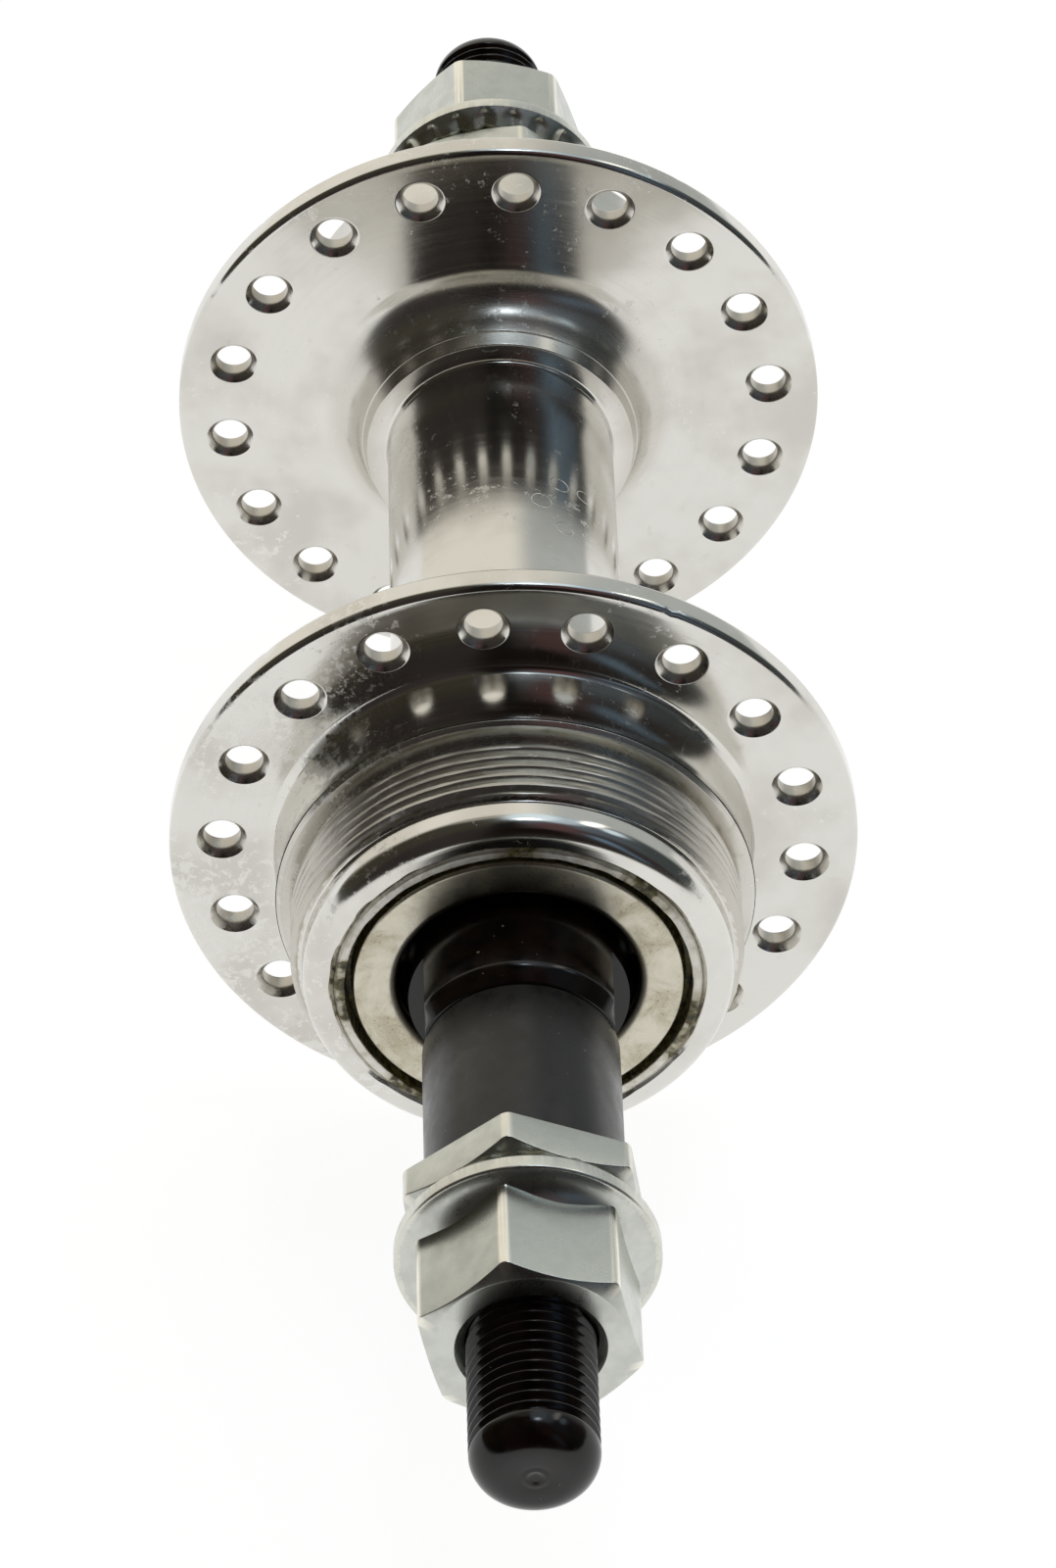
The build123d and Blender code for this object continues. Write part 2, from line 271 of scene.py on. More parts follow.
def even_angles(count, turn=0.0):
    """Evenly spaced angles about the axle, from a turn in degrees."""
    return radians(turn) + np.arange(count) * 2 * pi / count


def off_corner(angles, turn):
    """Angle from the nearest corner of a hexagon that has one at the turn."""
    return np.abs((angles - radians(turn) + pi / 6) % (pi / 3) - pi / 6)


def hexagon_angles(turn, teeth=0):
    """Angles for a hexagonal nut: even ones on the flats, close ones round each corner, and the teeth's."""
    around_corner = np.linspace(-radians(3.6), radians(3.6), 11)
    corners = (np.arange(6)[:, None] * pi / 3 + around_corner).ravel()
    even = np.arange(6 * flat_columns) * pi / 3 / flat_columns
    every_tooth = np.arange(teeth * tooth_columns) * 2 * pi / max(teeth * tooth_columns, 1)
    angles = np.concatenate([corners, even, every_tooth]) % (2 * pi)
    return radians(turn) + np.unique(np.round(angles, 6))


def corner_contact(across_flats):
    """Angle from a hexagon's corner at which its round meets the flat, and the round's centre radius."""
    size = hexagon_corner_round
    centre = (across_flats / 2 - size) / cos(pi / 6)
    return np.arctan2(size * sin(pi / 6), centre + size * cos(pi / 6)), centre


def hexagon_radius(angles, turn, across_flats):
    """Radius of a hexagon with rounded corners.

    Off a corner by d it is the flat's, half the width over cos(30 - d), and near the corner it is the
    outer crossing with the corner's circle: c cos d + sqrt(round^2 - c^2 sin^2 d).
    """
    off = off_corner(angles, turn)
    contact, centre = corner_contact(across_flats)
    inside = np.clip(hexagon_corner_round**2 - (centre * np.sin(off)) ** 2, 0, None)
    flat = across_flats / 2 / np.cos(pi / 6 - off)
    return np.where(off < contact, centre * np.cos(off) + np.sqrt(inside), flat)


def corner_wear(angles, turn, across_flats):
    """Share of wear round a hexagon: full on its rounded corners, where the plating is rubbed bright."""
    contact = corner_contact(across_flats)[0]
    return smooth(1.25, 0.75, off_corner(angles, turn) / contact)


def thread_surface(start, end, angles, side, pitch, major, depth, crest_share, limit, wear):
    """Right-handed V thread, cut off by a limit radius that depends on the place along.

    The wave's phase is y / pitch less the turn about the axle. A share of each turn is a flat crest,
    and between crests the radius falls in a V with a narrow flat root, where grime gathers. The groove
    runs out over its last turn.
    """
    rows = int(abs(end - start) / pitch * thread_rows) + 1
    along = np.linspace(start, end, rows)[:, None]
    phase = (outboard[side] * along / pitch - angles / (2 * pi)) % 1
    root_share = 0.08
    height = np.clip((np.abs(2 * phase - 1) - root_share) / (1 - crest_share - root_share), 0, 1)
    run_out = smooth(0, pitch, np.abs(end - along))
    radius = np.minimum(major - depth * (1 - height) * run_out, limit(along))
    path = np.stack(np.broadcast_arrays(radius, along), -1)
    return turned(path, angles, side, 0.0, wear, 0.5 * (1 - height) ** 2)


def make_piece(name, grids, finish, body, replaced, sharp_degrees=38):
    """One closed mesh from grids of points that run right round, in millimetres.

    Neighbouring points of a grid are joined by four-sided faces, and its last column to its first.
    Points that coincide are merged, which closes seams and poles, and the faces are turned outwards.
    """
    points, faces, first = [], [], 0
    for grid in grids:
        rows, columns = grid.shape[:2]
        index = first + np.arange(rows * columns).reshape(rows, columns)
        beside = np.roll(index, -1, axis=1)
        faces.append(np.stack([index[:-1], beside[:-1], beside[1:], index[1:]], -1).reshape(-1, 4))
        points.append(grid.reshape(-1, 5))
        first += rows * columns
    points, faces = np.concatenate(points).astype(np.float32), np.concatenate(faces)
    mesh = bpy.data.meshes.new(name)
    mesh.vertices.add(len(points))
    mesh.vertices.foreach_set("co", (points[:, :3] * mm).ravel())
    mesh.loops.add(faces.size)
    mesh.loops.foreach_set("vertex_index", faces.astype(np.int32).ravel())
    mesh.polygons.add(len(faces))
    mesh.polygons.foreach_set("loop_start", np.arange(0, faces.size, 4, dtype=np.int32))
    mesh.update(calc_edges=True)
    for layer, column in (("wear", 3), ("grime", 4)):
        attribute = mesh.attributes.new(layer, "FLOAT", "POINT")
        attribute.data.foreach_set("value", points[:, column].copy())
    merged = bmesh.new()
    merged.from_mesh(mesh)
    bmesh.ops.remove_doubles(merged, verts=merged.verts, dist=0.002 * mm)
    bmesh.ops.recalc_face_normals(merged, faces=merged.faces)
    merged.to_mesh(mesh)
    merged.free()
    mesh.shade_smooth()
    mesh.set_sharp_from_angle(angle=radians(sharp_degrees))
    mesh.materials.append(finishes[finish])
    piece = bpy.data.objects.new(name, mesh)
    bpy.context.scene.collection.objects.link(piece)
    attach(piece, body)
    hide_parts(replaced)
    return piece


def linear(hex_colour):
    """Linear red, green, blue and alpha of an sRGB hex colour."""
    coded = np.array([int(hex_colour[i:i + 2], 16) for i in (1, 3, 5)]) / 255
    colour = np.where(coded <= 0.04045, coded / 12.92, ((coded + 0.055) / 1.055) ** 2.4)
    return (*colour.tolist(), 1.0)


def fill(tree, node, inputs):
    """Fills a node's inputs, from a tuple in their order or from a dict by name.

    Each takes a value, a socket to link, or a node, whose first output in use is then linked.
    """
    if isinstance(inputs, dict):
        pairs = [(node.inputs[name], value) for name, value in inputs.items()]
    else:
        pairs = zip([socket for socket in node.inputs if socket.enabled], inputs)
    for socket, value in pairs:
        if isinstance(value, bpy.types.Node):
            value = next(output for output in value.outputs if output.enabled)
        if isinstance(value, bpy.types.NodeSocket):
            tree.links.new(value, socket)
        else:
            socket.default_value = value


def add(tree, kind, inputs=(), **settings):
    """Adds a node with its settings, and fills its inputs."""
    made = tree.nodes.new(f"ShaderNode{kind}")
    for name, value in settings.items():
        setattr(made, name, value)
    fill(tree, made, inputs)
    return made


# Settings that repeat: a range that is crossed smoothly, and a mix of colours. Noise takes its place,
# one over the size of its largest blots in mm, its detail and its roughness
smoothly = {"interpolation_type": "SMOOTHSTEP"}
colours = {"data_type": "RGBA"}


def start_finish(name, metallic=0.0):
    """A material with an empty tree, its shader, and the object's own coordinates in millimetres."""
    finish = bpy.data.materials.new(name)
    finish.use_nodes = True
    tree = finish.node_tree
    tree.nodes.clear()
    shader = add(tree, "BsdfPrincipled", {"Metallic": metallic})
    add(tree, "OutputMaterial", {"Surface": shader})
    coordinates = add(tree, "TexCoord").outputs["Object"]
    place = add(tree, "Mapping", {"Vector": coordinates, "Scale": (1 / mm,) * 3})
    return finish, tree, shader, place


# Radius at which the arcs of the lathe marks have their full length
marked_radius = 15.0


def lathe_marks(tree, place, spacing, arc):
    """Circular marks, a spacing apart, that fade in and out round the axle over arcs of that length.

    They are noise of three things: the direction from the axle, times the marked radius over the arc,
    the distance from the axle over the spacing, and the place along it over the spacing. Real marks are
    several times finer, and these are as coarse as they need to be to show.
    """
    parts = add(tree, "SeparateXYZ", (place,))
    across = add(tree, "CombineXYZ", {"X": parts.outputs["X"], "Z": parts.outputs["Z"]})
    direction = add(tree, "VectorMath", (across,), operation="NORMALIZE")
    distance = add(tree, "VectorMath", (across,), operation="LENGTH")
    round_the_hub = add(tree, "VectorMath", (direction, marked_radius / arc), operation="SCALE")
    outward = add(tree, "Math", (distance, 1 / spacing), operation="MULTIPLY")
    lengthwise = add(tree, "Math", (parts.outputs["Y"], 1 / spacing), operation="MULTIPLY")
    turn = add(tree, "SeparateXYZ", (round_the_hub,))
    where = add(tree, "CombineXYZ", (turn.outputs["X"], turn.outputs["Z"], outward))
    return add(tree, "TexNoise", {
        "Vector": where, "W": lengthwise, "Scale": 1.0, "Detail": 2.0, "Roughness": 0.6,
    }, noise_dimensions="4D")


def greased(tree, place, shader, colour, rough, metallic):
    """Lays grease over a finish where the mesh is grimy: olive, half dried, thicker and darker in patches.

    Grime plus noise says how much there is. From one amount on it covers the metal, and round such
    patches a thin brown film of it tints the metal.
    """
    grime = add(tree, "Attribute", attribute_name="grime").outputs["Fac"]
    spread = add(tree, "TexNoise", (place, 1 / 1.5, 3.0, 0.55))
    amount = add(tree, "Math", (grime, spread), operation="ADD")
    cover = add(tree, "MapRange", (amount, 1.04, 1.2), **smoothly)
    clots = add(tree, "TexNoise", (place, 1 / 0.5, 3.0, 0.55))
    dried = add(tree, "MapRange", (clots, 0.4, 0.65), **smoothly)
    grease = add(tree, "Mix", (dried, linear("#4a4522"), linear("#a0965a")), **colours)
    film = add(tree, "MapRange", (amount, 0.62, 1.1, 0.0, 0.6), **smoothly)
    filmed = add(tree, "Mix", (film, colour, linear("#8f8663")), **colours)
    fill(tree, shader, {
        "Base Color": add(tree, "Mix", (cover, filmed, grease), **colours),
        "Roughness": add(tree, "Mix", (cover, rough, 0.38)),
        "Metallic": add(tree, "Mix", (cover, metallic, 0.0)),
    })


# Curled hairlines that swarf left on the barrel: middle across and along, and radius
hairline_loops = (
    (3.2, 13.4, 0.80), (4.7, 16.1, 0.72), (6.7, 16.2, 0.60), (5.0, 10.7, 0.62),
)


def hairlines(tree, place):
    """Thin broken rings on top of the barrel, as a share.

    It is full where the distance from a ring's middle is its radius, and noise breaks the ring up.
    """
    parts = add(tree, "SeparateXYZ", (place,))
    flat = add(tree, "CombineXYZ", (parts.outputs["X"], parts.outputs["Y"]))
    above = add(tree, "MapRange", (parts.outputs["Z"], 2.0, 3.0), **smoothly)
    rings = 0.0
    for across, along, radius in hairline_loops:
        distance = add(tree, "VectorMath", (flat, (across, along, 0.0)), operation="DISTANCE")
        past_ring = add(tree, "Math", (distance, radius), operation="SUBTRACT")
        off_ring = add(tree, "Math", (past_ring,), operation="ABSOLUTE")
        ring = add(tree, "MapRange", (off_ring, 0.075, 0.025), **smoothly)
        rings = add(tree, "Math", (ring, rings), operation="MAXIMUM")
    patches = add(tree, "TexNoise", (place, 1 / 1.3, 2.0, 0.55))
    broken = add(tree, "MapRange", (patches, 0.4, 0.46), **smoothly)
    shown = add(tree, "Math", (rings, broken), operation="MULTIPLY")
    return add(tree, "Math", (shown, above), operation="MULTIPLY")


def make_polished_aluminium():
    """Cast aluminium, turned and buffed: a soft mirror under a milky oxide film, with buffing lines.

    Scuffs are whitish, speckled and dull, most of all on the left of the drive flange, where they are
    partly real smudges and partly painted light that brightens that side. Wear turns the mirror into a
    satin that catches light from all sides.
    """
    finish, tree, shader, place = start_finish("polished_aluminium")
    wear = add(tree, "Attribute", attribute_name="wear").outputs["Fac"]
    parts = add(tree, "SeparateXYZ", (place,))
    milk = add(tree, "TexNoise", (place, 1 / 8.0, 3.0, 0.5))
    film = add(tree, "MapRange", (milk, 0.4, 0.7), **smoothly)
    marks = lathe_marks(tree, place, 0.16, 22.0)
    lines = hairlines(tree, place)

    speckle = add(tree, "TexNoise", (place, 1 / 0.9, 7.0, 0.72))
    # Painted light: scuffs grow denser on the left of the drive flange to brighten that side, over its real
    # smudges
    leftward_smudge_and_light = add(tree, "MapRange", (parts.outputs["X"], 2.0, -16.0, 0.0, 0.09), **smoothly)
    driveward = add(tree, "MapRange", (parts.outputs["Y"], -17.0, -18.0), **smoothly)
    drive_left_smudge_and_light = add(tree, "Math", (leftward_smudge_and_light, driveward), operation="MULTIPLY")
    areas = add(tree, "TexNoise", (place, 1 / 9.0, 3.0, 0.55))
    handled = add(tree, "MapRange", (areas, 0.3, 0.75, -0.06, 0.08), **smoothly)
    speckle_sum_and_left_light = add(tree, "Math", (speckle, drive_left_smudge_and_light), operation="ADD")
    speckle_sum_and_left_light = add(tree, "Math", (speckle_sum_and_left_light, handled), operation="ADD")
    scuffs_and_left_light = add(tree, "MapRange", (speckle_sum_and_left_light, 0.62, 0.68), **smoothly)
    marred_and_left_light = add(tree, "Math", (scuffs_and_left_light, lines), operation="MAXIMUM")

    clean = add(tree, "Mix", (film, linear("#dbd9d3"), linear("#cbc8c1")), **colours)
    worn = add(tree, "Mix", (wear, clean, linear("#cbc6bc")), **colours)
    colour = add(tree, "Mix", (marred_and_left_light, worn, linear("#e6e4de")), **colours)
    rough = add(tree, "MapRange", (film, 0.0, 1.0, 0.12, 0.15), **smoothly)
    for more in (
        add(tree, "MapRange", (marks, 0.35, 0.75, 0.0, 0.05), **smoothly),
        add(tree, "Math", (marred_and_left_light, 0.2), operation="MULTIPLY"),
        add(tree, "Math", (wear, 0.24), operation="MULTIPLY"),
    ):
        rough = add(tree, "Math", (rough, more), operation="ADD")
    oxide = add(tree, "Math", (wear, 0.12), operation="MULTIPLY")
    greased(tree, place, shader, colour, rough, add(tree, "Math", (1.0, oxide), operation="SUBTRACT"))

    deeper = add(tree, "Math", (wear, 2.5), operation="MULTIPLY")
    depth = add(tree, "Math", (deeper, 0.7), operation="ADD")
    turned_marks = add(tree, "Math", (marks, depth), operation="MULTIPLY")
    scuff_height = add(tree, "Math", (scuffs_and_left_light, 0.8), operation="MULTIPLY")
    line_height = add(tree, "Math", (lines, 8.0), operation="MULTIPLY")
    raised = add(tree, "Math", (scuff_height, line_height), operation="ADD")
    height = add(tree, "Math", (turned_marks, raised), operation="ADD")
    bump = add(tree, "Bump", {"Height": height, "Distance": 0.0015 * mm, "Strength": 1.0})
    fill(tree, shader, {"Normal": bump})
    return finish


def make_zinc_steel():
    """Steel bar, machined and bright zinc plated: a greyish sheen with a fine grain, rubbed bright by wear.

    The plate's grain and the drawing marks along the bar are really finer, and are as coarse as they need
    to be to show.
    """
    finish, tree, shader, place = start_finish("zinc_steel", 1.0)
    wear = add(tree, "Attribute", attribute_name="wear").outputs["Fac"]
    blots = add(tree, "TexNoise", (place, 1 / 1.6, 5.0, 0.6))
    dull = add(tree, "MapRange", (blots, 0.4, 0.66), **smoothly)
    plated = add(tree, "Mix", (dull, linear("#cbcdc6"), linear("#c4c6bf")), **colours)
    colour = add(tree, "Mix", (wear, plated, linear("#f4f0e4")), **colours)
    rough = add(tree, "MapRange", (blots, 0.3, 0.7, 0.26, 0.34), **smoothly)
    greased(tree, place, shader, colour, rough, 1.0)
    along_bar = add(tree, "Mapping", {"Vector": place, "Scale": (1.0, 0.06, 1.0)})
    drawing = add(tree, "TexNoise", (along_bar, 1 / 0.22, 3.0, 0.55))
    grain = add(tree, "TexNoise", (place, 1 / 0.16, 3.0, 0.55))
    grain_height = add(tree, "Math", (grain, 0.7), operation="MULTIPLY")
    height = add(tree, "Math", (grain_height, drawing), operation="ADD")
    bump = add(tree, "Bump", {"Height": height, "Distance": 0.0035 * mm, "Strength": 1.0})
    fill(tree, shader, {"Normal": bump})
    return finish


def make_black_steel():
    """Blackened and oiled steel: nearly black brown, with a thin gloss of oil and a few pale specks."""
    finish, tree, shader, place = start_finish("black_steel")
    blots = add(tree, "TexNoise", (place, 1 / 1.5, 4.0, 0.55))
    brown = add(tree, "MapRange", (blots, 0.35, 0.65), **smoothly)
    colour = add(tree, "Mix", (brown, linear("#0e0806"), linear("#1f120c")), **colours)
    dust = add(tree, "TexNoise", (place, 1 / 0.45, 1.0, 0.55))
    specks = add(tree, "MapRange", (dust, 0.78, 0.82), **smoothly)
    marks = lathe_marks(tree, place, 0.14, 12.0)
    fill(tree, shader, {
        "Base Color": add(tree, "Mix", (specks, colour, linear("#8d8576")), **colours),
        "Roughness": add(tree, "MapRange", (blots, 0.3, 0.7, 0.12, 0.2), **smoothly),
        "Normal": add(tree, "Bump", {"Height": marks, "Distance": 0.0025 * mm, "Strength": 1.0}),
        "IOR": 1.45,
    })
    return finish


def make_satin_black_steel():
    """Steel tube with a satin black lacquer: deep grey with a soft sheen down its sides.

    The lacquer's own unevenness is really finer, and is as coarse as it needs to be to show.
    """
    finish, tree, shader, place = start_finish("satin_black_steel")
    blots = add(tree, "TexNoise", (place, 1 / 1.8, 5.0, 0.55))
    grey = add(tree, "MapRange", (blots, 0.35, 0.65), **smoothly)
    colour = add(tree, "Mix", (grey, linear("#12110e"), linear("#1c1a15")), **colours)
    dust = add(tree, "TexNoise", (place, 1 / 0.4, 1.0, 0.55))
    specks = add(tree, "MapRange", (dust, 0.77, 0.81), **smoothly)
    lacquer = add(tree, "TexNoise", (place, 1 / 0.12, 2.0, 0.55))
    fill(tree, shader, {
        "Base Color": add(tree, "Mix", (specks, colour, linear("#7a766c")), **colours),
        "Roughness": add(tree, "MapRange", (blots, 0.3, 0.7, 0.25, 0.36), **smoothly),
        "Normal": add(tree, "Bump", {"Height": lacquer, "Distance": 0.0015 * mm, "Strength": 1.0}),
        "IOR": 1.52,
    })
    return finish


def make_bearing_steel():
    """Hardened bearing steel, ground and polished: grey and bright in fine rings.

    Wear is the cup's rim, scraped rough and pale.
    """
    finish, tree, shader, place = start_finish("bearing_steel")
    wear = add(tree, "Attribute", attribute_name="wear").outputs["Fac"]
    grinding = lathe_marks(tree, place, 0.1, 10.0)
    streaks = add(tree, "MapRange", (grinding, 0.3, 0.7), **smoothly)
    ground = add(tree, "Mix", (streaks, linear("#b9b5a9"), linear("#a29e92")), **colours)
    colour = add(tree, "Mix", (wear, ground, linear("#e0ddd5")), **colours)
    polish = add(tree, "MapRange", (grinding, 0.3, 0.7, 0.16, 0.26), **smoothly)
    rougher = add(tree, "Math", (wear, 0.22), operation="MULTIPLY")
    rough = add(tree, "Math", (polish, rougher), operation="ADD")
    greased(tree, place, shader, colour, rough, 1.0)
    scrapes = add(tree, "TexNoise", (place, 1 / 0.45, 5.0, 0.7))
    scrape_depth = add(tree, "Math", (wear, 30.0), operation="MULTIPLY")
    scraped = add(tree, "Math", (scrapes, scrape_depth), operation="MULTIPLY")
    height = add(tree, "Math", (grinding, scraped), operation="ADD")
    bump = add(tree, "Bump", {"Height": height, "Distance": 0.003 * mm, "Strength": 1.0})
    fill(tree, shader, {"Normal": bump})
    return finish


def make_ball_grease_and_shade():
    """Bearing balls in old grease: dark olive brown with a wet gloss, made darker as painted shade in the
    gap.
    """
    finish, tree, shader, place = start_finish("greased_steel")
    blots = add(tree, "TexNoise", (place, 1 / 1.4, 3.0, 0.55))
    thin = add(tree, "MapRange", (blots, 0.4, 0.7), **smoothly)
    colour = add(tree, "Mix", (thin, linear("#15130c"), linear("#2b2614")), **colours)
    fill(tree, shader, {"Base Color": colour, "Roughness": 0.4})
    return finish


def make_cap_steel():
    """Pressed steel sheet with a matt zinc plate, yellowed, finely scratched and stained by grease.

    A scratch runs where winding noise crosses its middle value.
    """
    finish, tree, shader, place = start_finish("cap_steel", 1.0)
    stain = add(tree, "TexNoise", {
        "Vector": place, "Scale": 1 / 3.0, "Detail": 8.0, "Roughness": 0.68, "Distortion": 0.6,
    })
    yellow = add(tree, "MapRange", (stain, 0.35, 0.75), **smoothly)
    plated = add(tree, "Mix", (yellow, linear("#d0cbbb"), linear("#bab29c")), **colours)
    winding = add(tree, "TexNoise", {
        "Vector": place, "Scale": 1 / 0.9, "Detail": 1.0, "Roughness": 0.5, "Distortion": 2.5,
    })
    past_middle = add(tree, "Math", (winding, 0.5), operation="SUBTRACT")
    off_middle = add(tree, "Math", (past_middle,), operation="ABSOLUTE")
    thin = add(tree, "MapRange", (off_middle, 0.02, 0.006), **smoothly)
    scratched = add(tree, "MapRange", (stain, 0.47, 0.6, 0.0, 0.6), **smoothly)
    scratches = add(tree, "Math", (thin, scratched), operation="MULTIPLY")
    colour = add(tree, "Mix", (scratches, plated, linear("#6b6146")), **colours)
    rough = add(tree, "MapRange", (stain, 0.35, 0.7, 0.27, 0.4), **smoothly)
    greased(tree, place, shader, colour, rough, 1.0)
    uneven_sheet = add(tree, "TexNoise", (place, 1 / 0.3, 4.0, 0.55))
    bump = add(tree, "Bump", {"Height": uneven_sheet, "Distance": 0.005 * mm, "Strength": 1.0})
    fill(tree, shader, {"Normal": bump})
    return finish


finishes = {
    "polished_aluminium": make_polished_aluminium(),
    "zinc_steel": make_zinc_steel(),
    "black_steel": make_black_steel(),
    "satin_black_steel": make_satin_black_steel(),
    "bearing_steel": make_bearing_steel(),
    "cap_steel": make_cap_steel(),
}
# Finish for the balls: grease, made darker as painted shade in the gap between cup and cap
ball_grease_and_shade_finish = make_ball_grease_and_shade()

# The flat faces of a flange are cut into one sector for each spoke hole
columns_per_hole = 16
sector_inner = hole_circle_radius - 2.9
sector_outer = hole_circle_radius + 3.1


def flange_sectors(side, inboard_face):
    """Both faces and the hole walls of a flange, one set of closed grids for each spoke hole.

    A sector spans one hole's share of the turn between two radii. Each of its border points is joined
    to the hole's edge by a straight line towards the hole's centre. The wall follows an outline of
    (distance from the hole's axis, along) round the same directions.
    """
    face = inboard_face + flange_thickness
    half = pi / hole_count
    sweep = np.linspace(-half, half, columns_per_hole + 1)[:-1]
    climb = np.linspace(0, 1, columns_per_hole + 1)[:-1]
    angle = np.concatenate([sweep, np.full_like(climb, half), -sweep, np.full_like(climb, -half)])
    distance = np.concatenate([
        np.full_like(sweep, sector_outer),
        sector_outer + climb * (sector_inner - sector_outer),
        np.full_like(sweep, sector_inner),
        sector_inner + climb * (sector_outer - sector_inner),
    ])
    border = np.stack([distance * np.sin(angle), distance * np.cos(angle)], -1)
    centre = np.array([0, hole_circle_radius])
    direction = unit(border - centre)
    edge = hole_radius + countersink
    wall = outline(
        (edge + hole_margin, face, 0),
        (edge, face, hole_edge_round),
        (hole_radius, face - countersink, hole_wall_round),
        (hole_radius, inboard_face + countersink, hole_wall_round),
        (edge, inboard_face, hole_edge_round),
        (edge + hole_margin, inboard_face, 0),
    )[:, 0]
    share = np.linspace(0, 1, 4)[:, None, None]
    rim = centre + direction * (edge + hole_margin)
    flat = rim + share * (border - rim)
    hole = centre + wall[:, :1, None] * direction
    drilled = smooth(edge, hole_radius, wall[:, :1])
    grids = []
    for turn in even_angles(hole_count, spoke_turn[side]):
        rotate = np.array([[cos(turn), -sin(turn)], [sin(turn), cos(turn)]])
        for across, along, wear in (
            (flat @ rotate, face, 0.0),
            (flat @ rotate, inboard_face, 0.0),
            (hole @ rotate, wall[:, 1:2], drilled),
        ):
            y = outboard[side] * (along + ball_plane[side])
            grids.append(surface(across[..., 0], y, across[..., 1], wear))
    return grids


def boss_path(inboard_face):
    """From the flange's inboard face down the boss's root, over its ring and onto the barrel.

    The boss narrows inboard by its draft, and a small fillet runs out onto the barrel.
    """
    boss_end = inboard_face - boss_length
    ring_end = boss_end + boss_ring_length
    ring_radius = boss_radius - boss_ring_step
    return [
        (sector_inner, inboard_face, 0),
        (boss_radius + (inboard_face - ring_end) * boss_draft, inboard_face, boss_root_round),
        (boss_radius, ring_end, boss_ring_round),
        (ring_radius, ring_end, boss_ring_foot_round),
        (ring_radius - boss_ring_length * boss_draft, boss_end, boss_end_round),
        (barrel_radius + barrel_cover, boss_end, barrel_cover_round),
        (barrel_radius + barrel_cover, boss_end - barrel_cover_length, 0),
        (barrel_radius, boss_end - barrel_cover_length, 0),
        (barrel_radius, barrel_stop, 0),
        (barrel_bore_radius, barrel_stop, 0),
        (barrel_bore_radius, cup_floor, 0),
        (cup_radius, cup_floor, 0),
    ]


def boss_wear(path):
    """Share of wear along the boss, whose turned surface was never buffed to a mirror.

    It rises from the barrel to the boss, and falls again out over the boss's root.
    """
    radius = path[..., 0]
    fall = smooth(boss_radius + boss_satin_start, boss_radius + boss_satin_full, radius)
    return boss_satin * smooth(barrel_radius, boss_radius, radius) * fall


def mouth_path(angles, seed):
    """Mouth of the shell round the cup, with a ragged bevel where the cup was pressed in."""
    ragged = mouth_bevel + uneven(angles, mouth_raggedness, mouth_waves, seed)
    return [
        (cup_radius, shell_end - mouth_seat, 0),
        (cup_radius, shell_end - ragged, 0),
        (cup_radius + ragged, shell_end, 0),
    ]


def rim_path(inboard_face, angles, seed):
    """Rim of a flange with rounded, nicked edges, between the outer edges of the sectors on both faces."""
    face = inboard_face + flange_thickness
    inboard_nick = uneven(angles, 0.1, nick_waves, seed, nick_rarity)
    nick = uneven(angles, 0.12, nick_waves, seed + 1, nick_rarity)
    return outline(
        (sector_outer, inboard_face, 0),
        (flange_radius - inboard_nick, inboard_face, flange_edge_round),
        (flange_radius, (inboard_face + face) / 2, 0),
        (flange_radius - nick, face, flange_edge_round),
        (sector_outer, face, 0),
    )


def make_drive_flange():
    """Drive-side shell end: flange, boss, waisted collar, freewheel thread, rounded nose and cup seat."""
    side, origin = "drive", ball_plane["drive"]
    face = flange_plane[side] + flange_thickness / 2 - origin
    inboard_face = face - flange_thickness
    shoulder = face + collar_length
    thread_start = shoulder + thread_relief
    thread_end = shell_end - nose_length
    root_radius = thread_radius - thread_depth
    waist = 2 * collar_waist_radius - (collar_lip_radius + collar_root_radius) / 2
    angles = even_angles(hole_count * columns_per_hole, spoke_turn[side])

    def thread_limit(along):
        """Bevels that end the thread at its root's radius."""
        inside = np.minimum(along - origin - thread_start, thread_end - along + origin)
        return np.minimum(thread_radius, root_radius + inside)

    inner = outline(*boss_path(inboard_face))
    nose = outline(
        *mouth_path(angles, 3),
        (nose_radius, shell_end, nose_round),
        (nose_radius, thread_end, 0.15),
        (root_radius, thread_end, 0),
    )
    thread = thread_surface(thread_end + origin, thread_start + origin, angles, side, freewheel_pitch,
                            thread_radius, thread_depth, thread_crest_share, thread_limit, 0.7)
    lip_end = (collar_lip_radius - 0.02, shoulder - collar_lip_length, 0)
    relief = outline(
        (root_radius, thread_start, 0),
        (root_radius, shoulder, 0),
        (collar_lip_radius - collar_lip_bevel, shoulder, sharp_break),
        (collar_lip_radius, shoulder - collar_lip_bevel, sharp_break),
        lip_end,
    )
    collar = outline(
        lip_end,
        (waist, face + collar_length / 2, collar_waist_round),
        (collar_root_radius, face, collar_root_round),
        (sector_inner, face, 0),
    )
    grids = [
        turned(inner, angles, side, origin, boss_wear(inner)),
        turned(np.concatenate([inner[-1:] + 0 * nose[:1], nose]), angles, side, origin),
        thread,
        turned(relief, angles, side, origin, 0.4, 0.1),
        turned(collar, angles, side, origin),
        turned(rim_path(inboard_face, angles, 11), angles, side, origin),
    ]
    make_piece("drive_flange_polished", grids + flange_sectors(side, inboard_face),
               "polished_aluminium", "shell", "drive_flange")


